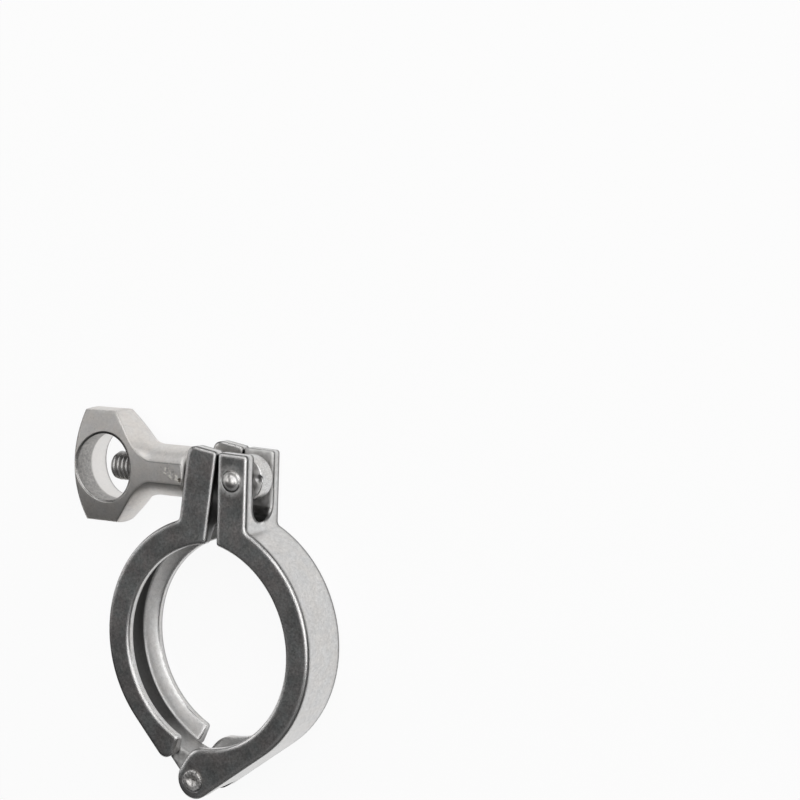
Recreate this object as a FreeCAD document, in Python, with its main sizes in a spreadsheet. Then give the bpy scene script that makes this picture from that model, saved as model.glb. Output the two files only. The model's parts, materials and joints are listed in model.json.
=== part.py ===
import FreeCAD, Part
import math
import os
import re
import Sketcher

# Hinged clamp for sanitary pipe ferrules.
# The origin is the centre of the fixed half's groove, on the pipe's axis Z. The front
# faces +Z, the ears point along +Y, and the clamp lies on its back face at -width / 2.
# Each half and pin is drawn upwards from its back face. Sizes are in millimetres and degrees.
SIZES = {
    # Ring: a channel whose two lips lead into a tapered groove
    "width": 15.6,
    "lip_radius": 28.2,
    "lip_thickness": 2.0,
    "groove_depth": 4.3,
    "flank_angle": 20.0,
    "web_thickness": 2.0,
    "rim_shift": 0.8,
    # Hinge: two lugs on the fixed half, one knuckle on the swinging half
    "hinge_side": 0.3,
    "hinge_outset": 2.9,
    "lug_radius": 5.1,
    "lug_thickness": 3.8,
    "lug_slope": 59.0,
    "lug_rounding": 6.0,
    "knuckle_radius": 4.7,
    "knuckle_side_gap": 0.15,
    "knuckle_gap": 0.5,
    "flange_end_angle": 14.5,
    "flange_rounding": 2.8,
    "flange_tip": 0.9,
    # Ears
    "ear_inner": 5.35,
    "ear_thickness": 9.3,
    "ear_over_pivot": 7.1,
    "ear_root": 1.5,
    "ear_corner": 0.9,
    "edge_chamfer": 0.45,
    "swing_ear_inner": 5.65,
    "swing_ear_thickness": 9.4,
    "swing_ear_lean": 1.2,
    "swing_ear_corner": 2.6,
    "past_round": 8.1,
    # Slots for the bolt
    "fork_slot": 9.2,
    "fork_depth": 11.4,
    "bolt_slot": 8.7,
    "bolt_slot_depth": 7.5,
    # Pins
    "pivot_side": 9.8,
    "pivot_rise": 10.9,
    "pin_radius": 2.5,
    "pin_end_inset": 0.1,
    "pin_fit": 0.04,
    "pin_running": 0.08,
    "dome_radius": 2.9,
    "dome_rim": 1.15,
    "dome_rim_height": 0.15,
    "dome_height": 0.9,
    "peen_radius": 3.0,
    "peen_height": 0.4,
    "dimple_radius": 1.7,
    "dimple_depth": 0.9,
    # Swing bolt
    "eye_radius": 6.2,
    "eye_thickness": 5.0,
    "bolt_radius": 3.97,
    "bolt_length": 43.6,
    "bolt_tip": 0.9,
    "neck_length": 3.2,
    "bolt_droop": 1.8,
    # Wing nut: a trumpet trimmed by two crowned sides
    "nut_gap": 0.3,
    "thread_gap": 0.08,
    "barrel_radius": 6.95,
    "barrel_length": 11.0,
    "barrel_chamfer": 0.8,
    "flare_radius": 12.0,
    "flare_angle": 45.0,
    "wing_radius": 15.7,
    "nut_length": 37.0,
    "end_bulge": 2.0,
    "side_crown": 42.0,
    "side_half": 6.5,
    "window_radius": 9.25,
    "window_place": 27.1,
    "wing_corner": 1.2,
}

# The ring's outer circle carries the hinge below and the ears above
DERIVED = {
    "rim_radius": "lip_radius + groove_depth + web_thickness",
    "hinge_drop": "rim_radius + hinge_outset",
    "pivot_height": "rim_radius + pivot_rise",
    "ear_top": "pivot_height + ear_over_pivot",
}

doc = FreeCAD.newDocument("HingedClamp")
sheet = doc.addObject("Spreadsheet::Sheet", "Sizes")
for row, (alias, size) in enumerate(SIZES.items(), start=1):
    sheet.set("A%d" % row, alias)
    sheet.set("B%d" % row, str(size))
    sheet.setAlias("B%d" % row, alias)
doc.recompute()


def linked(formula):
    """Spells out the derived sizes of a formula and points the others at their cells."""
    def cell(word):
        name = word.group()
        if name in DERIVED:
            return "(%s)" % linked(DERIVED[name])
        return "Sizes." + name if name in SIZES else name
    return re.sub(r"[a-z][a-z_]*", cell, formula)


def number(formula):
    """The present value of a formula."""
    result = sheet.evalExpression(linked(formula))
    return float(getattr(result, "Value", result))


# Sketches

def new_body(label):
    body = doc.addObject("PartDesign::Body", label)
    body.Label = label
    return body


def sketch_on(body, name, plane="XY_Plane", offset=None):
    sketch = body.newObject("Sketcher::SketchObject", name)
    support = [item for item in body.Origin.OriginFeatures if item.Role == plane][0]
    sketch.AttachmentSupport = [(support, "")]
    sketch.MapMode = "FlatFace"
    if offset:
        sketch.setExpression("AttachmentOffset.Base.z", linked(offset))
    return sketch


def place_point(sketch, item, end, x, y):
    """Dimensions one point of a sketch from the origin."""
    for kind, formula in (("DistanceX", x), ("DistanceY", y)):
        row = sketch.addConstraint(Sketcher.Constraint(kind, -1, 1, item, end, number(formula)))
        sketch.setExpression("Constraints[%d]" % row, linked(formula))


def set_radius(sketch, item, radius):
    row = sketch.addConstraint(Sketcher.Constraint("Radius", item, number(radius)))
    sketch.setExpression("Constraints[%d]" % row, linked(radius))


def circle(sketch, x, y, radius):
    centre = FreeCAD.Vector(number(x), number(y), 0)
    item = sketch.addGeometry(Part.Circle(centre, FreeCAD.Vector(0, 0, 1), number(radius)))
    if x == "0" and y == "0":
        sketch.addConstraint(Sketcher.Constraint("Coincident", item, 3, -1, 1))
    else:
        place_point(sketch, item, 3, x, y)
    set_radius(sketch, item, radius)


def rectangle(sketch, left, low, right, high):
    outline(sketch, [(left, low), (right, low), (right, high), (left, high)])


def outline(sketch, corners):
    """Closes a loop of corners (x, y), or (x, y, radius, side) where an arc arrives.

    The side says whether the arc's centre lies left or right of the way travelled.
    """
    points = [FreeCAD.Vector(number(corner[0]), number(corner[1]), 0) for corner in corners]
    items = []
    for place, corner in enumerate(corners):
        start = points[place - 1]
        end = points[place]
        if len(corner) == 2:
            items.append((sketch.addGeometry(Part.LineSegment(start, end)), 1, 2))
            continue
        radius = number(corner[2])
        chord = end - start
        side = 1 if corner[3] == "left" else -1
        across = FreeCAD.Vector(-chord.y, chord.x, 0).normalize() * side
        centre = (start + end) * 0.5 + across * math.sqrt(radius ** 2 - (chord.Length / 2) ** 2)
        first, last = (start, end) if side > 0 else (end, start)
        ring = Part.Circle(centre, FreeCAD.Vector(0, 0, 1), radius)
        arc = Part.ArcOfCircle(ring, ring.parameter(first), ring.parameter(last))
        item = sketch.addGeometry(arc)
        items.append((item, 1, 2) if side > 0 else (item, 2, 1))
        set_radius(sketch, item, corner[2])
    for place, corner in enumerate(corners):
        item, _, end = items[place]
        following, begin, _ = items[(place + 1) % len(items)]
        sketch.addConstraint(Sketcher.Constraint("Coincident", item, end, following, begin))
        place_point(sketch, item, end, corner[0], corner[1])


# Features

def pad(body, name, sketch, length, symmetric=False):
    feature = body.newObject("PartDesign::Pad", name)
    feature.Profile = sketch
    feature.setExpression("Length", linked(length))
    feature.Midplane = symmetric
    doc.recompute()
    return feature


def pocket(body, name, sketch, length):
    """Cuts half of the length on each side of the sketch."""
    before = body.Shape.Volume
    feature = body.newObject("PartDesign::Pocket", name)
    feature.Profile = sketch
    feature.setExpression("Length", linked(length))
    feature.Midplane = True
    doc.recompute()
    if body.Shape.Volume > before - 1e-6:
        raise RuntimeError(name + " removes nothing")
    return feature


def turned(body, kind, name, sketch, axis):
    feature = body.newObject("PartDesign::" + kind, name)
    feature.Profile = sketch
    feature.ReferenceAxis = (sketch, [axis])
    feature.Angle = 360
    doc.recompute()
    return feature


def rounding(body, name, kind, size, test):
    """Fillets or chamfers every edge of the body that passes the test."""
    base = body.Tip
    names = ["Edge%d" % (place + 1) for place, edge in enumerate(base.Shape.Edges) if test(edge)]
    if not names:
        raise RuntimeError(name + " finds no edge")
    feature = body.newObject("PartDesign::" + kind, name)
    feature.Base = (base, names)
    feature.setExpression("Size" if kind == "Chamfer" else "Radius", linked(size))
    doc.recompute()
    return feature


def middle(edge):
    return edge.valueAt((edge.FirstParameter + edge.LastParameter) / 2)


def in_plane(edge, axis, level):
    """Whether an edge lies in the plane where one coordinate has this value."""
    points = [vertex.Point for vertex in edge.Vertexes] + [middle(edge)]
    return all(abs(point[axis] - level) < 1e-4 for point in points)


def upright_at(edge, x, y, radius=0.0, reach=0.05):
    """Whether an edge along Z stands at a point of the front view, or this far from it."""
    ends = [vertex.Point for vertex in edge.Vertexes]
    if len(ends) != 2 or abs(ends[0].z - ends[1].z) < 0.1:
        return False
    return all(abs(math.hypot(end.x - x, end.y - y) - radius) < reach for end in ends)


def stand(body, x, y):
    """Places a body drawn from the back face, with its own origin at x, y."""
    body.setExpression("Placement.Base.x", linked(x))
    body.setExpression("Placement.Base.y", linked(y))
    body.setExpression("Placement.Base.z", linked("-width / 2"))


# Places that several pieces share

HINGE_X, HINGE_Y = "-hinge_side", "-hinge_drop"
LIP = number("lip_radius")
RIM = number("rim_radius")
SHIFT = number("rim_shift")
MIDDLE = "width / 2"
CLEAR = "width + 4"
KNUCKLE_WIDTH = "width - 2 * lug_thickness - 2 * knuckle_side_gap"
EAR_TILT = "(past_round - swing_ear_lean)"
NUT_SEAT = (
    "(swing_ear_inner + swing_ear_thickness + nut_gap"
    " + (pivot_side + hinge_side) * cos({tilt}) - (pivot_height + hinge_drop) * sin({tilt})"
    " + (barrel_radius - barrel_chamfer) * sin({tilt} + bolt_droop)) / cos({tilt} + bolt_droop)"
).format(tilt=EAR_TILT)


def heel(side, radius):
    """Corners of the web from a hinge circle, tangent to the ring's outer circle.

    The side is 1 for the fixed half and -1 for the swinging half, whose outer
    circle is shifted the other way.
    """
    across = "(hinge_side %s rim_shift)" % ("+" if side > 0 else "-")
    up = "(hinge_drop + rim_shift)"
    reach = "sqrt(%s ^ 2 + %s ^ 2)" % (across, up)
    rise = "atan2(%s; %s)" % (up, across)
    sign = "" if side > 0 else "-"
    lean = "(%s %s acos((%s - rim_radius) / %s))" % (rise, "-" if side > 0 else "+", radius, reach)
    hinge = ("%s + %s * cos(%s)" % (HINGE_X, radius, lean), "%s + %s * sin(%s)" % (HINGE_Y, radius, lean))
    rim = (
        "%srim_shift + rim_radius * cos(%s)" % (sign, lean),
        "rim_shift + rim_radius * sin(%s)" % lean,
    )
    return hinge, rim


def channel(body):
    """Turns the tapered groove that wedges two ferrules together."""
    before = body.Shape.Volume
    sketch = sketch_on(body, body.Label + "_channel_profile", "XZ_Plane")
    taper = "groove_depth * tan(flank_angle)"
    outline(sketch, [
        ("lip_radius - 1", "lip_thickness"),
        ("lip_radius", "lip_thickness"),
        ("lip_radius + groove_depth", "lip_thickness + " + taper),
        ("lip_radius + groove_depth", "width - lip_thickness - " + taper),
        ("lip_radius", "width - lip_thickness"),
        ("lip_radius - 1", "width - lip_thickness"),
    ])
    turned(body, "Groove", body.Label + "_channel", sketch, "V_Axis")
    if body.Shape.Volume > before - 1:
        raise RuntimeError("the channel removes nothing")


def leaning(across, up):
    """A point of the swinging half's ear, from the hinge, turned by the ear's lean."""
    x = "%s - %s * cos(swing_ear_lean) - %s * sin(swing_ear_lean)" % (HINGE_X, across, up)
    y = "%s - %s * sin(swing_ear_lean) + %s * cos(swing_ear_lean)" % (HINGE_Y, across, up)
    return x, y


def point_of(corner):
    return number(corner[0]), number(corner[1])


def bolt_slot(body, name, plane, length, wide, level):
    """Cuts a round-bottomed slot through an ear, open at the top, along X."""
    slot = sketch_on(body, name + "_slot_face", "YZ_Plane", plane)
    rectangle(slot, level, "(width - %s) / 2" % wide, "ear_top + 10", "(width + %s) / 2" % wide)
    pocket(body, name + "_slot", slot, length)
    floor = sketch_on(body, name + "_slot_floor_face", "YZ_Plane", plane)
    circle(floor, level, MIDDLE, wide + " / 2")
    pocket(body, name + "_slot_floor", floor, length)


def lip_corner(edge, above):
    """Whether an edge along Z stands on the lip circle, above or below its centre."""
    return upright_at(edge, 0, 0, LIP) and (edge.Vertexes[0].Point.y > 0) == above


def left_root(edge):
    """The inner corner where the swinging ear's outer face meets the ring."""
    on_rim = upright_at(edge, -SHIFT, SHIFT, RIM, 0.02)
    return on_rim and edge.Vertexes[0].Point.y > LIP / 2


def flange_corner(edge, outer):
    """The outer or the inner corners of the swinging half's two flange ends."""
    x, y = edge.Vertexes[0].Point.x, edge.Vertexes[0].Point.y
    if not upright_at(edge, x, y) or (math.hypot(x, y) > LIP + 2) != outer:
        return False
    angle = math.radians(number("flange_end_angle"))
    return y < 0 and abs(x * math.cos(angle) - y * math.sin(angle)) < 0.01 and edge.Length < number(MIDDLE)


def break_outlines(body, name):
    """Bevels the outlines of the front and the back face."""
    front = number("width")
    rounding(body, name, "Chamfer", "edge_chamfer",
             lambda edge: in_plane(edge, 2, 0) or in_plane(edge, 2, front))


# Fixed half: forked ear for the bolt's eye, two lugs for the hinge

def right_half():
    body = new_body("right_half")

    rim = sketch_on(body, "right_rim")
    circle(rim, "rim_shift", "rim_shift", "rim_radius")
    pad(body, "right_ring", rim, "width")

    ear = sketch_on(body, "right_ear_face")
    outline(ear, [
        ("ear_inner", "0"),
        ("ear_inner + ear_thickness", "0"),
        ("ear_inner + ear_thickness", "ear_top"),
        ("ear_inner", "ear_top"),
    ])
    pad(body, "right_ear", ear, "width")

    lug = sketch_on(body, "right_lug_face")
    circle(lug, HINGE_X, HINGE_Y, "lug_radius")
    pad(body, "right_lug", lug, "width")

    web = sketch_on(body, "right_web_face")
    hinge, rim_point = heel(1, "lug_radius")
    slope = ("%s - lug_radius * sin(lug_slope)" % HINGE_X, "%s + lug_radius * cos(lug_slope)" % HINGE_Y)
    outline(web, [
        (HINGE_X, HINGE_Y),
        hinge,
        rim_point,
        (rim_point[0], "-lip_radius / 2"),
        ("%s + (hinge_drop - lip_radius / 2 - lug_radius * cos(lug_slope)) / tan(lug_slope)" % slope[0],
         "-lip_radius / 2"),
        slope,
    ])
    pad(body, "right_web", web, "width")

    bore = sketch_on(body, "right_bore_face", offset=MIDDLE)
    circle(bore, "0", "0", "lip_radius")
    pocket(body, "right_bore", bore, CLEAR)

    parting = sketch_on(body, "right_parting_face", offset=MIDDLE)
    outline(parting, [
        ("ear_inner", "ear_top + 10"),
        ("-60", "ear_top + 10"),
        ("-60", "%s - 30 * sin(lug_slope)" % slope[1]),
        ("%s - 30 * cos(lug_slope)" % slope[0], "%s - 30 * sin(lug_slope)" % slope[1]),
        ("%s + 20 * cos(lug_slope)" % slope[0], "%s + 20 * sin(lug_slope)" % slope[1]),
        ("ear_inner", "0"),
    ])
    pocket(body, "right_parting", parting, CLEAR)

    inner = number("ear_inner")
    outer = number("ear_inner + ear_thickness")
    top = number("ear_top")
    root = SHIFT + math.sqrt(RIM ** 2 - (outer - SHIFT) ** 2)
    rounding(body, "right_ear_root", "Fillet", "ear_root", lambda edge: upright_at(edge, outer, root))
    rounding(body, "right_ear_corners", "Fillet", "ear_corner",
             lambda edge: upright_at(edge, inner, top) or upright_at(edge, outer, top) or lip_corner(edge, True))
    rounding(body, "right_lug_corner", "Fillet", "lug_rounding", lambda edge: lip_corner(edge, False))
    break_outlines(body, "right_edges")
    channel(body)

    fork = sketch_on(body, "hinge_fork_face", offset=MIDDLE)
    fork_end = HINGE_X + " + knuckle_radius + knuckle_gap"
    rectangle(fork, "-2 * rim_radius", "-2 * rim_radius", fork_end, "-lip_radius / 2")
    pocket(body, "hinge_fork", fork, "width - 2 * lug_thickness")

    bolt_slot(body, "fork", "ear_inner + ear_thickness / 2", "ear_thickness + 4",
              "fork_slot", "pivot_height - fork_depth + fork_slot / 2")

    for name, x, y in (("right_hinge_bore", HINGE_X, HINGE_Y), ("pivot_bore", "pivot_side", "pivot_height")):
        bore = sketch_on(body, name + "_face", offset=MIDDLE)
        circle(bore, x, y, "pin_radius + pin_fit")
        pocket(body, name, bore, CLEAR)
    stand(body, "0", "0")
    return body


# Swinging half: drawn round the same axis as the fixed half, then closed past round

def left_half():
    body = new_body("left_half")

    rim = sketch_on(body, "left_rim")
    circle(rim, "-rim_shift", "rim_shift", "rim_radius")
    pad(body, "left_ring", rim, "width")

    inner = "swing_ear_inner"
    outer = "(swing_ear_inner + swing_ear_thickness)"
    top = "(ear_top + hinge_drop)"
    ear = sketch_on(body, "left_ear_face")
    outline(ear, [
        leaning(inner, "hinge_drop"),
        leaning(inner, top),
        leaning(outer, top),
        leaning(outer, "hinge_drop"),
    ])
    pad(body, "left_ear", ear, "width")

    web = sketch_on(body, "left_web_face")
    hinge, rim_point = heel(-1, "knuckle_radius")
    outline(web, [
        (HINGE_X, HINGE_Y),
        hinge,
        rim_point,
        (rim_point[0], "-lip_radius / 2"),
        (HINGE_X, "-lip_radius / 2"),
    ])
    pad(body, "left_web", web, "width")

    bore = sketch_on(body, "left_bore_face", offset=MIDDLE)
    circle(bore, "0", "0", "lip_radius")
    pocket(body, "left_bore", bore, CLEAR)

    parting = sketch_on(body, "left_parting_face", offset=MIDDLE)
    outline(parting, [
        leaning(inner, "hinge_drop"),
        (HINGE_X, "0"),
        (HINGE_X, "-2 * rim_radius"),
        ("2 * rim_radius", "-2 * rim_radius"),
        ("2 * rim_radius", "ear_top + 10"),
        leaning(inner, "(ear_top + hinge_drop + 10)"),
    ])
    pocket(body, "left_parting", parting, CLEAR)

    for name, level in (("back", "0"), ("front", "width")):
        end = sketch_on(body, name + "_flange_end_face", offset=level)
        outline(end, [
            ("0", "0"),
            ("-2 * rim_radius * sin(flange_end_angle)", "-2 * rim_radius * cos(flange_end_angle)"),
            ("2 * rim_radius", "-2 * rim_radius"),
            ("2 * rim_radius", "0"),
        ])
        pocket(body, name + "_flange_end", end, "width - (%s)" % KNUCKLE_WIDTH)

    rounding(body, "left_ear_root", "Fillet", "ear_root", left_root)
    inner_top = point_of(leaning(inner, top))
    outer_top = point_of(leaning(outer, top))
    rounding(body, "left_ear_corners", "Fillet", "ear_corner",
             lambda edge: upright_at(edge, *inner_top) or lip_corner(edge, True))
    rounding(body, "left_ear_shoulder", "Fillet", "swing_ear_corner", lambda edge: upright_at(edge, *outer_top))
    rounding(body, "flange_corners", "Fillet", "flange_rounding", lambda edge: flange_corner(edge, True))
    rounding(body, "flange_tips", "Fillet", "flange_tip", lambda edge: flange_corner(edge, False))
    break_outlines(body, "left_edges")
    channel(body)

    knuckle = sketch_on(body, "knuckle_face", offset=MIDDLE)
    circle(knuckle, HINGE_X, HINGE_Y, "knuckle_radius")
    pad(body, "knuckle", knuckle, KNUCKLE_WIDTH, symmetric=True)

    level = "(pivot_height + hinge_drop) * cos(past_round) - hinge_drop - bolt_slot_depth + bolt_slot / 2"
    bolt_slot(body, "left", "-hinge_side - swing_ear_inner - swing_ear_thickness / 2",
              "swing_ear_thickness + 6", "bolt_slot", level)

    pin_bore = sketch_on(body, "left_hinge_bore_face", offset=MIDDLE)
    circle(pin_bore, HINGE_X, HINGE_Y, "pin_radius + pin_running")
    pocket(body, "left_hinge_bore", pin_bore, CLEAR)

    body.Placement = FreeCAD.Placement(FreeCAD.Vector(), FreeCAD.Rotation(FreeCAD.Vector(0, 0, -1), 1))
    body.setExpression("Placement.Rotation.Angle", linked("past_round"))
    stand(body, "-hinge_side + hinge_side * cos(past_round) + hinge_drop * sin(past_round)",
          "-hinge_drop - hinge_side * sin(past_round) + hinge_drop * cos(past_round)")
    return body


# Pins: turned, with their formed heads on the front face

def hinge_pin():
    body = new_body("hinge_pin")
    profile = sketch_on(body, "hinge_pin_profile", "XZ_Plane")
    outline(profile, [
        ("0", "pin_end_inset"),
        ("pin_radius", "pin_end_inset"),
        ("pin_radius", "width"),
        ("peen_radius", "width"),
        ("peen_radius", "width + peen_height / 2"),
        ("peen_radius - peen_height / 2", "width + peen_height"),
        ("dimple_radius", "width + peen_height"),
        ("0", "width + peen_height - dimple_depth"),
    ])
    turned(body, "Revolution", "hinge_pin_turned", profile, "V_Axis")
    stand(body, HINGE_X, HINGE_Y)
    return body


def pivot_pin():
    body = new_body("pivot_pin")
    profile = sketch_on(body, "pivot_pin_profile", "XZ_Plane")
    rim = "width + dome_rim_height"
    crown = "(dome_radius - dome_rim)"
    rise = "(dome_height - dome_rim_height)"
    outline(profile, [
        ("0", "pin_end_inset"),
        ("pin_radius", "pin_end_inset"),
        ("pin_radius", "width"),
        ("dome_radius", "width"),
        ("dome_radius", rim),
        (crown, rim),
        ("0", "width + dome_height", "(%s ^ 2 + %s ^ 2) / (2 * %s)" % (crown, rise, rise), "left"),
    ])
    turned(body, "Revolution", "pivot_pin_turned", profile, "V_Axis")
    stand(body, "pivot_side", "pivot_height")
    return body


# Swing bolt and wing nut: drawn along -X from the pivot, then drooped a little

def hang(body, along):
    """Places a body on the bolt's axis, this far from the pivot."""
    body.Placement = FreeCAD.Placement(FreeCAD.Vector(), FreeCAD.Rotation(FreeCAD.Vector(0, 0, 1), 1))
    body.setExpression("Placement.Rotation.Angle", linked("bolt_droop"))
    body.setExpression("Placement.Base.x", linked("pivot_side - (%s) * cos(bolt_droop)" % along))
    body.setExpression("Placement.Base.y", linked("pivot_height - (%s) * sin(bolt_droop)" % along))


def swing_bolt():
    body = new_body("swing_bolt")
    shank = sketch_on(body, "bolt_profile")
    neck = "eye_radius - 1.2"
    outline(shank, [
        ("-(%s)" % neck, "0"),
        ("-(%s)" % neck, "eye_thickness / 2"),
        ("-(%s) - neck_length" % neck, "bolt_radius"),
        ("-bolt_length + bolt_tip", "bolt_radius"),
        ("-bolt_length", "bolt_radius - bolt_tip"),
        ("-bolt_length", "0"),
    ])
    turned(body, "Revolution", "bolt_shank", shank, "H_Axis")
    eye = sketch_on(body, "eye_face")
    circle(eye, "0", "0", "eye_radius")
    pad(body, "eye", eye, "eye_thickness", symmetric=True)
    bore = sketch_on(body, "eye_bore_face")
    circle(bore, "0", "0", "pin_radius + pin_running")
    pocket(body, "eye_bore", bore, "eye_thickness + 2")
    hang(body, "0")
    return body


def wing_nut():
    body = new_body("wing_nut")
    profile = sketch_on(body, "nut_profile")
    flare_end = "barrel_length + flare_radius * sin(flare_angle)"
    flare_rise = "barrel_radius + flare_radius * (1 - cos(flare_angle))"
    shoulder = "(%s + (wing_radius - (%s)) / tan(flare_angle))" % (flare_end, flare_rise)
    outline(profile, [
        ("0", "0"),
        ("0", "barrel_radius - barrel_chamfer"),
        ("-barrel_chamfer", "barrel_radius"),
        ("-barrel_length", "barrel_radius"),
        ("-(%s)" % flare_end, flare_rise, "flare_radius", "right"),
        ("-" + shoulder, "wing_radius"),
        ("-nut_length - 1", "wing_radius"),
        ("-nut_length - 1", "0"),
    ])
    turned(body, "Revolution", "nut_trumpet", profile, "H_Axis")

    end = sketch_on(body, "nut_end_face")
    crown = "((wing_radius ^ 2 + end_bulge ^ 2) / (2 * end_bulge))"
    corner_y = "(wing_radius - 0.92 * wing_corner)"
    corner_x = "sqrt((%s - wing_corner) ^ 2 - %s ^ 2)" % (crown, corner_y)
    touch_x = "%s - nut_length - %s * %s / (%s - wing_corner)" % (crown, corner_x, crown, crown)
    touch_y = "%s * %s / (%s - wing_corner)" % (corner_y, crown, crown)
    corner_x = "%s - nut_length - %s" % (crown, corner_x)
    corner_top = "(%s + wing_corner)" % corner_y
    outline(end, [
        (corner_x, corner_top),
        (touch_x, touch_y, "wing_corner", "left"),
        (touch_x, "-" + touch_y, crown, "left"),
        (corner_x, "-" + corner_top, "wing_corner", "left"),
        (corner_x, "-wing_radius - 2"),
        ("-nut_length - 2", "-wing_radius - 2"),
        ("-nut_length - 2", "wing_radius + 2"),
        (corner_x, "wing_radius + 2"),
    ])
    pocket(body, "nut_end", end, "2 * wing_radius + 2")

    sides = sketch_on(body, "nut_side_profile", "YZ_Plane")
    reach = "(wing_radius + 1)"
    edge_level = "(side_half - side_crown + sqrt(side_crown ^ 2 - %s ^ 2))" % reach
    outline(sides, [
        ("-" + reach, edge_level),
        (reach, edge_level, "side_crown", "right"),
        (reach, "wing_radius + 2"),
        ("-" + reach, "wing_radius + 2"),
    ])
    outline(sides, [
        (reach, "-" + edge_level),
        ("-" + reach, "-" + edge_level, "side_crown", "right"),
        ("-" + reach, "-wing_radius - 2"),
        (reach, "-wing_radius - 2"),
    ])
    pocket(body, "nut_sides", sides, "3 * nut_length")

    window = sketch_on(body, "window_face")
    circle(window, "-window_place", "0", "window_radius")
    pocket(body, "window", window, CLEAR)

    bore = sketch_on(body, "thread_bore_face", "YZ_Plane")
    circle(bore, "0", "0", "bolt_radius + thread_gap")
    pocket(body, "thread_bore", bore, "2 * window_place")
    hang(body, NUT_SEAT)
    return body


NODES = [right_half(), left_half(), hinge_pin(), pivot_pin(), swing_bolt(), wing_nut()]
doc.recompute()

for item in doc.Objects:
    if "Invalid" in item.State or "Error" in item.State:
        raise RuntimeError("%s is in state %s" % (item.Name, item.State))
for node in NODES:
    if node.Shape.isNull() or not node.Shape.isValid() or len(node.Shape.Solids) != 1:
        raise RuntimeError(node.Label + " is not one sound solid")

os.makedirs("parts", exist_ok=True)
for node in NODES:
    node.Shape.exportStep("parts/" + node.Label + ".step")
    box = node.Shape.BoundBox
    print(node.Label, round(node.Shape.Volume, 1), "mm3, from", [round(v, 2) for v in (box.XMin, box.YMin, box.ZMin)],
          "to", [round(v, 2) for v in (box.XMax, box.YMax, box.ZMax)])
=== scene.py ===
import json
import math

import bmesh
import bpy
from mathutils import Matrix, Vector


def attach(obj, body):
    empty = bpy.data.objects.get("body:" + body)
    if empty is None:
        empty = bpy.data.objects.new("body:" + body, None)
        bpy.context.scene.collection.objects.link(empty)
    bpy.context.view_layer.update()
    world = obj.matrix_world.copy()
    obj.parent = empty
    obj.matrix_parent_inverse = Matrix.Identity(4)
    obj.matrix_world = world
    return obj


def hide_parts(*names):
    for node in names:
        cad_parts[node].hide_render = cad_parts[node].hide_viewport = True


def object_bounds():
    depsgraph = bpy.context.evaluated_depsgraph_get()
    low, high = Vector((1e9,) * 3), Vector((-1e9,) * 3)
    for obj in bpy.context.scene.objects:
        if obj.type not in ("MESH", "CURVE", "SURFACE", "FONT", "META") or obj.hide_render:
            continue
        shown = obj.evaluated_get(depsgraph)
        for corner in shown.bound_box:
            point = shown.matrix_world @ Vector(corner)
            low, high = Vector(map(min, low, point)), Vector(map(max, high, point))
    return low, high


# Looks of a hinged clamp for sanitary pipe ferrules. The origin is the centre of the fixed half's
# groove, the front faces +Z and the ears point along +Y.

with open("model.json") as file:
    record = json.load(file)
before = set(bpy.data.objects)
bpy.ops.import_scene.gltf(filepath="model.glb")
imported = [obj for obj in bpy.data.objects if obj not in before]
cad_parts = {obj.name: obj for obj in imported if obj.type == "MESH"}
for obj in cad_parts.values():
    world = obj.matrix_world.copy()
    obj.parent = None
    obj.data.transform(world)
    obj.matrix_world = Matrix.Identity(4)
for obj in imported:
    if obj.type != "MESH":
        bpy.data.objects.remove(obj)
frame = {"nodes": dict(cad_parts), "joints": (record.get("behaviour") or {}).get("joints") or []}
cad_box = [list(corner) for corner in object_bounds()]
scene = bpy.context.scene
MM = 0.001

# Axes: the bolt's pivot, the hinge, the bolt's own line, both halves' grooves and the nut's window.
# The swinging half is turned past the round, and its ear's face leans back a little from that.
JOINTS = {joint["name"]: joint for joint in frame["joints"]}
PIVOT = Vector(JOINTS["bolt_swing"]["pos_m"])
HINGE = Vector(JOINTS["half_open"]["pos_m"])
ALONG = Vector(JOINTS["nut_travel"]["axis"]).normalized()
PAST_ROUND = math.radians(8.1)
EAR_LEAN = math.radians(1.2)
FIXED_AXIS = Vector((0, 0, 0))
SWINGING_AXIS = HINGE - Matrix.Rotation(-PAST_ROUND, 3, "Z") @ HINGE
WINDOW_AXIS = PIVOT + ALONG * 43.65 * MM

# Surfaces: radii about those axes, and distances in front of and behind the middle plane
RIM_EDGE = 33 * MM
GROOVE_RADIUS = 32.5 * MM
GROOVE_HALF = 4.2 * MM
WINDOW_RADIUS = 9.25 * MM
BOLT_RADIUS = 3.96 * MM
FACE_LEVEL = 7.8 * MM
NUT_LEVEL = 6.5 * MM
SLOT_LEVEL = 4.6 * MM
EYE_LEVEL = 2.5 * MM

# Relief of the casting's grain, in millimetres
GRAIN = 0.018


# Camera: the photograph's own view, found from the places of the clamp's corners in it

CAMERA_PLACE = Vector((292.0, 129.5, 410.2)) * MM
CAMERA_YAW = math.radians(29.99)
CAMERA_PITCH = math.radians(7.11)
CAMERA_ROLL = math.radians(2.10)
FOCAL_PIXELS = 1901.6
PHOTO_PIXELS = 800


def add_camera():
    tilt = math.cos(CAMERA_PITCH)
    forward = -Vector((math.sin(CAMERA_YAW) * tilt, math.sin(CAMERA_PITCH), math.cos(CAMERA_YAW) * tilt))
    level = Vector((math.cos(CAMERA_YAW), 0, -math.sin(CAMERA_YAW)))
    right = level * math.cos(CAMERA_ROLL) + level.cross(forward) * math.sin(CAMERA_ROLL)
    up = right.cross(forward)
    data = bpy.data.cameras.new("camera")
    data.sensor_width = 36
    data.lens = FOCAL_PIXELS * data.sensor_width / PHOTO_PIXELS
    data.clip_start = 0.01
    data.clip_end = 50
    camera = bpy.data.objects.new("camera", data)
    turn = Matrix((right, up, -forward)).transposed()
    camera.matrix_world = Matrix.Translation(CAMERA_PLACE) @ turn.to_4x4()
    scene.collection.objects.link(camera)
    scene.camera = camera


# Materials

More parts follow.
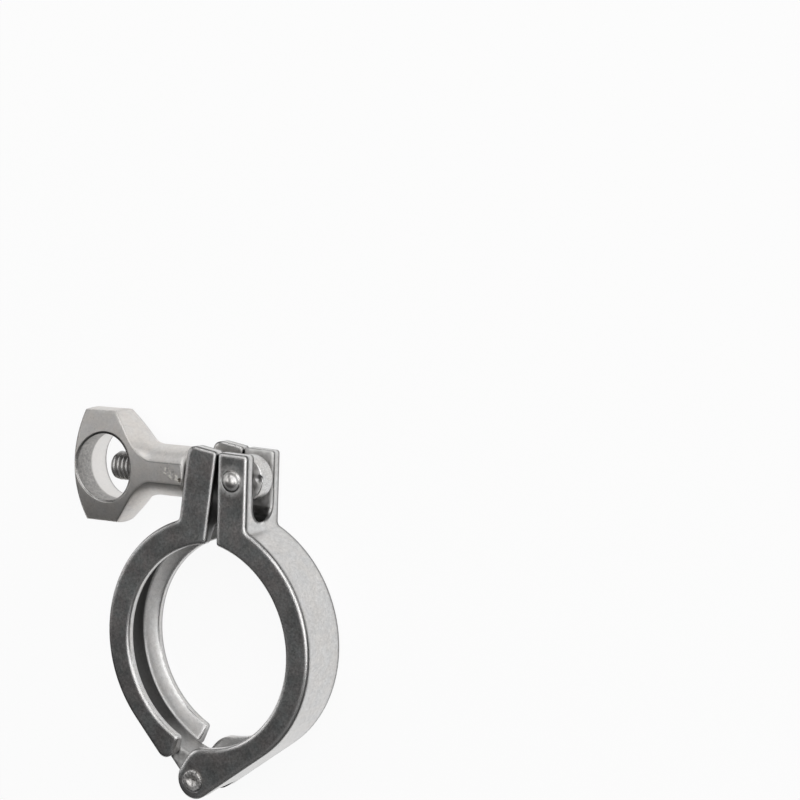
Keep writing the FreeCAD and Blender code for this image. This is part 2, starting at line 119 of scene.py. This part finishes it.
def grey(level, warm=0.012):
    """A grey that leans to red, or to blue where warm is below zero."""
    return (level * (1 + warm), level, level * (1 - warm), 1)


BRIGHT = grey(0.88)


class Nodes:
    """Adds shader nodes to a material or world and links them in one call each."""

    def __init__(self, owner):
        owner.use_nodes = True
        self.tree = owner.node_tree
        self.tree.nodes.clear()

    def add(self, kind, settings=None, **inputs):
        """Adds a node; an underscore in an input's name stands for a space."""
        node = self.tree.nodes.new("ShaderNode" + kind)
        for name, value in (settings or {}).items():
            setattr(node, name, value)
        for name, value in inputs.items():
            self.feed(node, name.replace("_", " "), value)
        return node

    def feed(self, node, place, value):
        """Links or sets the input with this name or number."""
        socket = node.inputs[place]
        if isinstance(value, bpy.types.NodeSocket):
            self.tree.links.new(value, socket)
        else:
            socket.default_value = value

    def math(self, operation, first, second=0.0):
        node = self.add("Math", {"operation": operation})
        self.feed(node, 0, first)
        self.feed(node, 1, second)
        return node.outputs[0]

    def times(self, product, *factors):
        for factor in factors:
            product = self.math("MULTIPLY", product, factor)
        return product

    def mix(self, share, first, second):
        """The colour that lies this share of the way from the first to the second."""
        node = self.add("Mix", {"data_type": "RGBA"})
        for place, value in ((0, share), (6, first), (7, second)):
            self.feed(node, place, value)
        return node.outputs[2]

    def blend(self, share, first, second):
        """The number that lies this share of the way from the first to the second."""
        node = self.add("Mix", {"data_type": "FLOAT"})
        for place, value in ((0, share), (2, first), (3, second)):
            self.feed(node, place, value)
        return node.outputs[0]

    def span(self, value, low, high, to_low=0.0, to_high=1.0):
        """Moves the value from the span low to high, which may fall, to another, and clamps it."""
        node = self.add("MapRange", {"clamp": True})
        for place, number in enumerate((value, low, high, to_low, to_high)):
            self.feed(node, place, number)
        return node.outputs[0]

    def noise(self, where, scale, detail, rough, distortion=0.0):
        node = self.add("TexNoise", Vector=where, Scale=scale, Detail=detail, Roughness=rough,
                        Distortion=distortion)
        return node.outputs[0]

    def stretched(self, where, turn, size):
        """Turned coordinates that count in marks of this size, for marks that run one way."""
        node = self.add("Mapping", {"vector_type": "TEXTURE"}, Vector=where, Rotation=turn, Scale=size)
        return node.outputs[0]

    def vector(self, operation, first, second=(0, 0, 0)):
        """A vector, or the number that a length or dot product gives."""
        node = self.add("VectorMath", {"operation": operation})
        self.feed(node, 0, first)
        self.feed(node, 1, second)
        return node.outputs["Value" if operation in ("LENGTH", "DOT_PRODUCT") else "Vector"]

    def scaled(self, vector, factor):
        node = self.add("VectorMath", {"operation": "SCALE"}, Scale=factor)
        self.feed(node, 0, vector)
        return node.outputs["Vector"]

    def part(self, vector, axis):
        return self.add("SeparateXYZ", Vector=vector).outputs[axis]


class Steel(Nodes):
    """The finish of a piece of tumbled stainless steel.

    The light and dark levels are the grain's, and warm is its tint. Edges are rounded over
    the bevel's width and lightened by the edge share, partly as rubbed wear and partly as a
    painted highlight, and darkened beside that by the share line, as a painted line of shade.
    Crevices are darkened as painted shade. The features below change the colour, roughness,
    height or painted crevice shade where a piece differs. Heights are in millimetres.
    """

    def __init__(self, name, *, light, dark, rough, bevel, rub_and_highlight, crevice_shade, warm=0.012, line=0.0):
        self.material = bpy.data.materials.new(name)
        super().__init__(self.material)
        self.dark = dark
        self.crevice_shade = crevice_shade
        self.where = self.add("TexCoord").outputs["Object"]
        self.flat = self.add("NewGeometry").outputs["True Normal"]
        self.soft = self.add("Bevel", {"samples": 8}, Radius=bevel).outputs[0]

        turn = self.vector("DOT_PRODUCT", self.soft, self.flat)
        # Edges lightened: partly rubbed wear, partly a painted highlight
        rubbed_and_highlit = self.span(turn, 0.965, 0.88)
        # Painted shade: a thin dark line beside the lightened edges
        painted_edge_shade = self.times(self.span(turn, 0.998, 0.991), self.span(turn, 0.965, 0.978))
        grains = self.speckle(3300, 3, 0.75)
        pits = self.span(self.speckle(2100, 2, 0.6), 0.37, 0.29)
        clouds = self.speckle(170, 3, 0.6, 0.4)
        tints = self.span(self.speckle(260, 2, 0.5), 0.35, 0.65)
        spread = 0.6 * (light - dark)
        blotches = self.span(self.speckle(1000, 4, 0.75), 0.34, 0.66, 1 - spread, 1 + spread)
        scratches = self.scratches()

        self.colour = self.mix(self.span(grains, 0.34, 0.66), grey(dark, warm), grey(light, warm))
        self.tint(self.span(clouds, 0.38, 0.66), 0.22, grey(dark * 0.8))
        hues = self.mix(tints, grey(dark, warm - 0.03), grey(dark, warm + 0.03))
        self.colour = self.mix(0.35, self.colour, hues)
        self.tint(pits, 0.35, grey(dark * 0.4))
        self.colour = self.scaled(self.colour, blotches)
        self.tint(scratches, 0.55, grey(0.90))
        self.tint(rubbed_and_highlit, rub_and_highlight, grey(0.80))
        self.tint(painted_edge_shade, line, grey(dark * 0.3, warm))

        self.roughness = self.span(grains, 0.2, 0.8, rough - 0.06, rough + 0.06)
        self.roughness = self.blend(rubbed_and_highlit, self.roughness, rough * 0.60)

        self.height = self.times(self.math("SUBTRACT", grains, pits), 0.6 * GRAIN)
        self.lift(self.times(scratches, -0.3 * GRAIN))
        self.lift(self.times(clouds, 1.2 * GRAIN))

    def speckle(self, scale, detail, rough, distortion=0.0):
        """Noise in the piece's own coordinates, so it moves with the piece."""
        return self.noise(self.where, scale, detail, rough, distortion)

    def scratches(self):
        """Short fine scratches in several directions, in sparse patches."""
        size = (1.6 * MM, 0.24 * MM, 1.6 * MM)
        marks = 0.0
        for turn in ((0.2, 0.1, 0.9), (-0.1, 0.3, -0.5), (0.4, -0.2, 2.1)):
            streak = self.noise(self.stretched(self.where, turn, size), 1, 1, 0.4)
            marks = self.math("MAXIMUM", marks, streak)
        patches = self.span(self.speckle(420, 1, 0.5), 0.52, 0.62)
        return self.times(self.span(marks, 0.735, 0.79), patches)

    def facing(self):
        """How squarely the surface faces the front or the back."""
        return self.math("ABSOLUTE", self.part(self.flat, 2))

    def level(self):
        """Distance from the middle plane."""
        return self.math("ABSOLUTE", self.part(self.where, 2))

    def reach(self, axis):
        """Distance from an axis that runs from back to front."""
        offset = self.vector("SUBTRACT", self.where, axis)
        return self.vector("LENGTH", self.vector("MULTIPLY", offset, (1, 1, 0)))

    def distance(self, place):
        return self.vector("LENGTH", self.vector("SUBTRACT", self.where, place))

    def tint(self, mask, share, tone):
        """Colours the surface under the mask, by this share."""
        self.colour = self.mix(self.times(mask, share), self.colour, tone)

    def lift(self, height):
        self.height = self.math("ADD", self.height, height)

    def finished(self):
        # Painted shade: crevices found by ambient occlusion are darkened by the crevice share
        crevice = self.add("AmbientOcclusion", {"samples": 8}, Distance=7 * MM, Normal=self.soft)
        shade = self.span(crevice.outputs["AO"], 0.60, 0.18)
        self.tint(shade, self.crevice_shade, grey(self.dark * 0.08))
        bump = self.add("Bump", Strength=1.0, Distance=MM, Height=self.height, Normal=self.soft)
        shader = self.add("BsdfPrincipled", Base_Color=self.colour, Metallic=1.0,
                          Roughness=self.roughness, Normal=bump.outputs[0])
        self.add("OutputMaterial", Surface=shader.outputs[0])
        return self.material


# Features of the finishes

def dull_and_shaded_faces(steel, share):
    """Front and back faces, which the tumbling leaves duller than the rim, darkened further as painted
    shade for the dark surroundings they reflect.
    """
    mask = steel.times(steel.span(steel.facing(), 0.97, 0.995),
                       steel.span(steel.level(), FACE_LEVEL - 0.3 * MM, FACE_LEVEL))
    mottle = steel.span(steel.speckle(1500, 4, 0.8), 0.33, 0.67, share * 0.68, share * 1.32)
    broad = steel.span(steel.speckle(130, 3, 0.6, 0.6), 0.35, 0.68, 0.84, 1.22)
    dulled_and_shaded = steel.scaled(steel.colour, steel.times(mottle, broad))
    hue = steel.span(steel.speckle(190, 3, 0.6), 0.38, 0.62)
    tinted = steel.mix(hue, (0.97, 1.01, 1.02, 1), (1.03, 0.99, 0.99, 1))
    steel.colour = steel.mix(mask, steel.colour, steel.vector("MULTIPLY", dulled_and_shaded, tinted))


def painted_edge_lines(steel, axis, edge_highlight_share):
    """The faces' rounded edges: a painted highlight in front, with a painted dark line of shade towards
    the rim.
    """
    lean = steel.math("ABSOLUTE", steel.part(steel.soft, 2))
    edge_highlight = steel.times(steel.span(lean, 0.995, 0.970), steel.span(lean, 0.68, 0.78),
                         steel.span(steel.level(), FACE_LEVEL - 1.0 * MM, FACE_LEVEL - 0.8 * MM))
    # Painted shade: the dark line on the rim side of the edges
    dark = steel.times(steel.span(lean, 0.08, 0.18), steel.span(lean, 0.78, 0.70),
                       steel.span(steel.reach(axis), RIM_EDGE, RIM_EDGE + 1.0 * MM))
    steel.tint(edge_highlight, edge_highlight_share, BRIGHT)
    steel.tint(dark, 0.90, grey(0.04))


def shaded_parting_face(steel, direction):
    """The ear's face towards the other ear, painted dark above the root as shade between the ears."""
    root = 24 * MM
    facing = steel.span(steel.vector("DOT_PRODUCT", steel.flat, direction), 0.97, 0.99)
    above = steel.span(steel.part(steel.where, 1), root, root + 2 * MM)
    steel.tint(steel.times(facing, above), 0.80, grey(0.07))


def shaded_groove_floor(steel, axis):
    """Painted shade on the floor of a half's groove, lighter near the hinge."""
    reach = steel.reach(axis)
    mask = steel.times(steel.span(reach, GROOVE_RADIUS - 0.5 * MM, GROOVE_RADIUS - 0.1 * MM),
                       steel.span(reach, GROOVE_RADIUS + 0.6 * MM, GROOVE_RADIUS + 0.3 * MM),
                       steel.span(steel.level(), GROOVE_HALF + 0.3 * MM, GROOVE_HALF),
                       steel.span(steel.reach(HINGE), 9 * MM, 20 * MM, 0.42, 1.0))
    steel.tint(mask, 0.93, grey(0.03))
    steel.roughness = steel.blend(mask, steel.roughness, 0.5)


def painted_bright_flanks(steel, axis):
    """The groove's flanks, painted a little brighter than the cast faces as a reflection."""
    facing = steel.facing()
    mask = steel.times(steel.span(facing, 0.88, 0.92), steel.span(facing, 0.975, 0.960),
                       steel.span(steel.reach(axis), GROOVE_RADIUS + 0.6 * MM, GROOVE_RADIUS + 0.2 * MM))
    steel.tint(mask, 0.15, grey(0.86, 0.0))


def worn_and_lit_faces(steel, axis, reach, level, amount):
    """Flat faces near a pin that the moving piece has rubbed: rougher, with less painted crevice shade,
    and lighter as painted light.
    """
    mask = steel.times(steel.span(steel.reach(axis), reach, reach - 4 * MM),
                       steel.span(steel.facing(), 0.95, 0.98),
                       steel.span(steel.level(), level + 0.4 * MM, level + 0.1 * MM),
                       steel.span(steel.speckle(700, 3, 0.7), 0.35, 0.60, 0.45, 1.0))
    # Painted light on the rubbed faces
    steel.tint(mask, amount, BRIGHT)
    steel.roughness = steel.blend(steel.times(mask, amount), steel.roughness, 0.70)
    steel.crevice_shade = steel.blend(steel.times(mask, amount), steel.crevice_shade, 0.1)


def struck_face(steel, axis, inner, outer):
    """The front face round a rivet's head, brightened in patches where it was struck."""
    front = steel.span(steel.part(steel.where, 2), FACE_LEVEL - 0.3 * MM, FACE_LEVEL)
    mask = steel.times(steel.span(steel.reach(axis), outer, inner), front)
    patches = steel.span(steel.speckle(800, 3, 0.6), 0.40, 0.60, 0.5, 1.4)
    steel.tint(mask, patches, BRIGHT)
    steel.crevice_shade = steel.blend(mask, steel.crevice_shade, 0.1)


def peened(steel, depth, stain):
    """Hammer marks on a pin's formed head."""
    steel.lift(steel.times(steel.speckle(600, 2, 0.5, 0.6), depth))
    steel.tint(steel.span(steel.speckle(1100, 2, 0.6), 0.48, 0.38), stain, grey(0.12))


def collar(steel, axis, inner, outer, share):
    """The flat ring round a rivet's dome, unevenly a little duller."""
    smear = steel.span(steel.speckle(380, 2, 0.6), 0.38, 0.62, share * 0.8, share * 1.2)
    mask = steel.span(steel.reach(axis), inner, outer)
    steel.colour = steel.mix(mask, steel.colour, steel.scaled(steel.colour, smear))


def window_wall(steel):
    """The window's wall: drafted both ways from a line half way through, with painted shade in front of
    it and a painted reflection behind it.
    """
    slope = 0.09
    place = steel.part(steel.where, 2)
    wall = steel.span(steel.reach(WINDOW_AXIS), WINDOW_RADIUS + 0.6 * MM, WINDOW_RADIUS + 0.2 * MM)
    steel.lift(steel.times(steel.level(), -slope / MM, wall))
    mottle = steel.span(steel.speckle(1500, 4, 0.8), 0.38, 0.62, 0.45, 1.0)
    # Painted shade on the front half of the wall
    steel.tint(steel.times(steel.span(place, -0.3 * MM, 0.5 * MM), wall), mottle, grey(0.30))
    # Painted reflection on the rear half of the wall
    steel.tint(steel.times(steel.span(place, 0.2 * MM, -0.4 * MM), wall), 0.6, BRIGHT)


def face_outline(steel, level):
    """A thin painted dark line of shade round a flat face, on the surfaces that meet it."""
    mask = steel.times(steel.span(steel.level(), level - 0.30 * MM, level - 0.16 * MM),
                       steel.span(steel.facing(), 0.985, 0.95))
    steel.tint(mask, 0.55, grey(0.16))


def casting_mark(steel, place, turn, size, hole):
    """A ragged patch left by the casting: dents, bright burrs and a small hole at its end, painted as a
    dark spot of shade.
    """
    offset = steel.vector("SUBTRACT", steel.where, place)
    reach = steel.vector("LENGTH", steel.stretched(offset, (0, 0, turn), size))
    outline = steel.span(steel.speckle(520, 3, 0.7), 0.3, 0.7, -0.9, 0.9)
    inside = steel.span(steel.math("ADD", reach, outline), 1.1, 0.7)
    ragged = steel.blend(0.60, steel.speckle(3200, 4, 0.8, 0.4), steel.speckle(850, 3, 0.6))
    burrs = steel.times(inside, steel.span(ragged, 0.50, 0.44))
    dents = steel.times(inside, steel.span(ragged, 0.54, 0.59), 0.55)
    # Painted shade: the hole is a dark round spot with a shallow bump
    painted_hole = steel.span(steel.distance(hole), 0.75 * MM, 0.50 * MM, 0.0, 0.9)
    dents = steel.math("MAXIMUM", dents, painted_hole)
    steel.tint(dents, 1.0, grey(0.10, 0.25))
    steel.tint(burrs, 1.0, grey(1.0, 0.05))
    steel.roughness = steel.blend(burrs, steel.roughness, 0.80)
    steel.lift(steel.times(burrs, 0.90))
    steel.lift(steel.times(dents, -0.27))


def dent(steel, place, radius, depth):
    """A small round dent."""
    bowl = steel.span(steel.distance(place), radius, 0.0)
    steel.tint(bowl, 0.7, grey(0.14))
    steel.lift(steel.times(bowl, -depth))


def shaded_thread_roots(steel):
    """The roots of the bolt's thread, painted darker as shade, and rougher than its crests."""
    offset = steel.vector("SUBTRACT", steel.where, PIVOT)
    reach = steel.vector("LENGTH", steel.vector("CROSS_PRODUCT", offset, ALONG))
    ahead = steel.vector("DOT_PRODUCT", offset, ALONG)
    mask = steel.times(steel.span(reach, BOLT_RADIUS - 0.12 * MM, BOLT_RADIUS - 0.55 * MM),
                       steel.span(ahead, 8.5 * MM, 10 * MM))
    steel.tint(mask, 0.40, grey(0.18, 0.06))
    steel.roughness = steel.blend(mask, steel.roughness, 0.50)


# Finishes of the pieces

def half_steel(name, axis, edge_highlight_share, parting, worn_and_lit_axis, worn_and_lit_reach):
    """The cast finish of both halves, laid out round the half's own groove."""
    steel = Steel(name, light=0.77, dark=0.56, rough=0.31, bevel=1.6 * MM, rub_and_highlight=0.8, crevice_shade=0.9)
    dull_and_shaded_faces(steel, share=0.60)
    painted_edge_lines(steel, axis, edge_highlight_share)
    shaded_parting_face(steel, parting)
    shaded_groove_floor(steel, axis)
    painted_bright_flanks(steel, axis)
    worn_and_lit_faces(steel, worn_and_lit_axis, reach=worn_and_lit_reach, level=SLOT_LEVEL, amount=0.8)
    return steel


def right_half_finish():
    steel = half_steel("cast_steel_fixed", FIXED_AXIS, edge_highlight_share=0.85, parting=Vector((-1, 0, 0)),
                       worn_and_lit_axis=PIVOT, worn_and_lit_reach=16 * MM)
    struck_face(steel, PIVOT, inner=2.9 * MM, outer=4.8 * MM)
    return steel.finished()


def left_half_finish():
    parting = Matrix.Rotation(EAR_LEAN - PAST_ROUND, 3, "Z") @ Vector((1, 0, 0))
    steel = half_steel("cast_steel_swinging", SWINGING_AXIS, edge_highlight_share=0.25, parting=parting,
                       worn_and_lit_axis=HINGE, worn_and_lit_reach=14 * MM)
    return steel.finished()


def hinge_pin_finish():
    steel = Steel("peened_pin_steel", light=0.84, dark=0.62, rough=0.42, bevel=0.7 * MM, rub_and_highlight=0.5,
                  crevice_shade=0.5, warm=0.02, line=0.3)
    peened(steel, depth=0.40, stain=0.6)
    return steel.finished()


def pivot_pin_finish():
    steel = Steel("riveted_pin_steel", light=0.84, dark=0.72, rough=0.32, bevel=0.9 * MM, rub_and_highlight=0.3,
                  crevice_shade=0.2, warm=0.02)
    peened(steel, depth=0.01, stain=0.05)
    collar(steel, PIVOT, inner=1.8 * MM, outer=2.5 * MM, share=0.95)
    return steel.finished()


def wing_nut_finish():
    steel = Steel("nut_steel", light=0.76, dark=0.65, rough=0.45, bevel=1.2 * MM, rub_and_highlight=0.0,
                  crevice_shade=0.6, warm=0.035, line=0.3)
    window_wall(steel)
    face_outline(steel, NUT_LEVEL)
    casting_mark(steel, place=Vector((-10.2, 44.8, 6.7)) * MM, turn=math.radians(-28),
                 size=Vector((3.0, 1.4, 3.0)) * MM, hole=Vector((-7.99, 43.5, 6.7)) * MM)
    return steel.finished()


def threaded_bolt_finish():
    steel = Steel("bolt_steel", light=0.74, dark=0.56, rough=0.26, bevel=0.2 * MM, rub_and_highlight=0.5,
                  crevice_shade=0.3)
    shaded_thread_roots(steel)
    worn_and_lit_faces(steel, PIVOT, reach=10 * MM, level=EYE_LEVEL, amount=1.0)
    dent(steel, place=Vector((15.0, 46.0, 2.5)) * MM, radius=1.2 * MM, depth=0.9)
    return steel.finished()


def dress(piece, material):
    piece.data.materials.clear()
    piece.data.materials.append(material)
    for face in piece.data.polygons:
        face.material_index = 0


# Swing bolt: an eye, a tapered neck and a rolled thread, measured from the pivot along the bolt

BOLT_LENGTH = 43.6 * MM
TIP_BEVEL = 0.9 * MM
PITCH = 25.4 / 18 * MM
THREAD_START = 10.5 * MM
NECK = ((4.9 * MM, 2.45 * MM), (7.8 * MM, 3.75 * MM), (8.2 * MM, BOLT_RADIUS))
SHANK_STEPS = 72
ROWS_PER_TURN = 16
EYE_RADIUS = 6.2 * MM
EYE_HOLE = 2.6 * MM
EYE_HOLE_BEVEL = 0.2 * MM
EYE_ROUNDING = 0.4 * MM
EYE_STEPS = 96


def even_angles(steps):
    return [2 * math.pi * step / steps for step in range(steps)]


def add_points(mesh, place, rows):
    """Adds rows of points that are given in the bolt's own frame."""
    return [[mesh.verts.new(place @ Vector(point)) for point in row] for row in rows]


def join_rows(mesh, rows):
    """Closes the surface between each row and the next, all the way round."""
    for low, high in zip(rows, rows[1:]):
        for place in range(len(low)):
            follow = (place + 1) % len(low)
            mesh.faces.new((low[place], low[follow], high[follow], high[place]))


def thread_depth(place):
    """Depth of a 60 degree thread with a narrow crest and a rounded root."""
    phase = abs((place / PITCH) % 1.0 - 0.5) * 2
    flank = min(max((phase - 0.10) / 0.70, 0.0), 1.0)
    return (flank - math.sin(2 * math.pi * flank) / (2 * math.pi) * 0.35) * 0.61 * PITCH


def thread_radius(ahead, angle):
    """The shank's radius: its thread winds in from the start and ends in a bevelled tip."""
    fade = min(max((ahead - THREAD_START + PITCH) / (1.5 * PITCH), 0.0), 1.0)
    cut = fade * thread_depth(ahead - PITCH * angle / (2 * math.pi))
    tip = BOLT_RADIUS - TIP_BEVEL + (BOLT_LENGTH - ahead) * 1.05
    return min(BOLT_RADIUS - cut, tip)


def shank_row(ahead, radii):
    """Points round the bolt's line, at one radius for each angle."""
    turns = zip(even_angles(SHANK_STEPS), radii)
    return [(ahead, radius * math.cos(angle), radius * math.sin(angle)) for angle, radius in turns]


def add_shank(mesh, place):
    """The neck and the thread, closed at the tip and open inside the eye."""
    rows = [shank_row(ahead, [radius] * SHANK_STEPS) for ahead, radius in NECK]
    first = THREAD_START - PITCH
    count = int((BOLT_LENGTH - first) / PITCH * ROWS_PER_TURN)
    for step in range(count + 1):
        ahead = first + (BOLT_LENGTH - first) * step / count
        rows.append(shank_row(ahead, [thread_radius(ahead, angle) for angle in even_angles(SHANK_STEPS)]))
    rows = add_points(mesh, place, rows)
    join_rows(mesh, rows)
    mesh.faces.new(rows[-1])


def eye_row(reach, level):
    """Points round the pivot at this radius and height."""
    return [(reach * math.cos(angle), reach * math.sin(angle), level) for angle in even_angles(EYE_STEPS)]


def add_eye(mesh, place):
    """A flat ring with a rounded rim."""
    profile = [(EYE_HOLE, EYE_HOLE_BEVEL - EYE_LEVEL), (EYE_HOLE + EYE_HOLE_BEVEL, -EYE_LEVEL)]
    for step in range(7):
        angle = math.pi / 2 * (step / 6 - 1)
        profile.append((EYE_RADIUS - EYE_ROUNDING + EYE_ROUNDING * math.cos(angle),
                        EYE_ROUNDING - EYE_LEVEL + EYE_ROUNDING * math.sin(angle)))
    profile += [(reach, -level) for reach, level in reversed(profile)]
    rows = add_points(mesh, place, [eye_row(reach, level) for reach, level in profile])
    join_rows(mesh, rows + rows[:1])


def threaded_bolt():
    side = Vector((0, 0, 1)).cross(ALONG)
    turn = Matrix((ALONG, side, (0, 0, 1))).transposed()
    place = Matrix.Translation(PIVOT) @ turn.to_4x4()
    mesh = bmesh.new()
    add_shank(mesh, place)
    add_eye(mesh, place)
    bmesh.ops.recalc_face_normals(mesh, faces=mesh.faces)
    data = bpy.data.meshes.new("threaded_bolt")
    mesh.to_mesh(data)
    mesh.free()
    bolt = bpy.data.objects.new("threaded_bolt", data)
    scene.collection.objects.link(bolt)
    data.shade_smooth()
    data.set_sharp_from_angle(angle=math.radians(40))
    return bolt


# Floor, light and world

FLOOR_HALF = 6.0
FLOOR_GAP = 0.05 * MM
FLOOR_GLOW = 0.92


def add_floor():
    """A pale floor just under the clamp, which the camera and the steel see nearly white."""
    half = FLOOR_HALF
    level = cad_box[0][2] - FLOOR_GAP
    data = bpy.data.meshes.new("floor")
    corners = [(-half, -half, level), (half, -half, level), (half, half, level), (-half, half, level)]
    data.from_pydata(corners, [], [(0, 1, 2, 3)])
    floor = bpy.data.objects.new("floor", data)
    scene.collection.objects.link(floor)

    material = bpy.data.materials.new("pale_floor")
    nodes = Nodes(material)
    rays = nodes.add("LightPath").outputs
    seen = rays["Is Camera Ray"]
    for ray in ("Is Glossy Ray", "Is Transmission Ray"):
        seen = nodes.math("MAXIMUM", seen, rays[ray])
    paint = nodes.add("BsdfDiffuse", Color=(0.86, 0.86, 0.86, 1))
    glow = nodes.add("Emission", Color=(1, 1, 1, 1), Strength=1.0)
    mixed = nodes.add("MixShader", Fac=nodes.times(seen, FLOOR_GLOW))
    nodes.feed(mixed, 1, paint.outputs[0])
    nodes.feed(mixed, 2, glow.outputs[0])
    nodes.add("OutputMaterial", Surface=mixed.outputs[0])
    data.materials.append(material)


def add_lamp(name, direction, distance, size, watts):
    """A square or oblong lamp that shines at the origin from this direction."""
    data = bpy.data.lights.new(name, "AREA")
    data.shape = "RECTANGLE"
    data.size, data.size_y = size
    data.energy = watts
    lamp = bpy.data.objects.new(name, data)
    way = Vector(direction).normalized()
    lamp.location = way * distance
    lamp.rotation_mode = "QUATERNION"
    lamp.rotation_quaternion = (-way).to_track_quat("-Z", "Y")
    scene.collection.objects.link(lamp)


def add_world():
    """White to the camera, and a dim glow that grows upwards for all else."""
    world = bpy.data.worlds.new("studio")
    scene.world = world
    nodes = Nodes(world)
    rise = nodes.part(nodes.add("TexCoord").outputs["Generated"], 2)
    dim = nodes.add("Background", Color=(1, 1, 1, 1), Strength=nodes.span(rise, 0.35, 0.85, 0.02, 0.18))
    seen = nodes.add("Background", Color=(1, 1, 1, 1), Strength=1.0)
    mixed = nodes.add("MixShader", Fac=nodes.add("LightPath").outputs["Is Camera Ray"])
    nodes.feed(mixed, 1, dim.outputs[0])
    nodes.feed(mixed, 2, seen.outputs[0])
    nodes.add("OutputWorld", Surface=mixed.outputs[0])


add_camera()
add_floor()
add_world()
add_lamp("key", (0.75, 0.55, 0.55), distance=1.4, size=(1.5, 1.5), watts=12.0)
add_lamp("top", (-0.25, 0.85, 0.50), distance=1.1, size=(1.0, 0.6), watts=2.8)
add_lamp("left", (-0.90, 0.10, 0.40), distance=1.1, size=(0.6, 0.6), watts=1.5)
add_lamp("overhead", (0.25, -0.05, 0.97), distance=1.1, size=(0.50, 0.50), watts=1.75)
add_lamp("overhead_rear", (0.00, 0.36, 0.93), distance=1.1, size=(0.45, 0.45), watts=1.0)
scene.view_settings.view_transform = "Standard"

dress(frame["nodes"]["right_half"], right_half_finish())
dress(frame["nodes"]["left_half"], left_half_finish())
dress(frame["nodes"]["hinge_pin"], hinge_pin_finish())
dress(frame["nodes"]["pivot_pin"], pivot_pin_finish())
dress(frame["nodes"]["wing_nut"], wing_nut_finish())

bolt = threaded_bolt()
dress(bolt, threaded_bolt_finish())
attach(bolt, "swing_bolt")
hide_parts("swing_bolt")
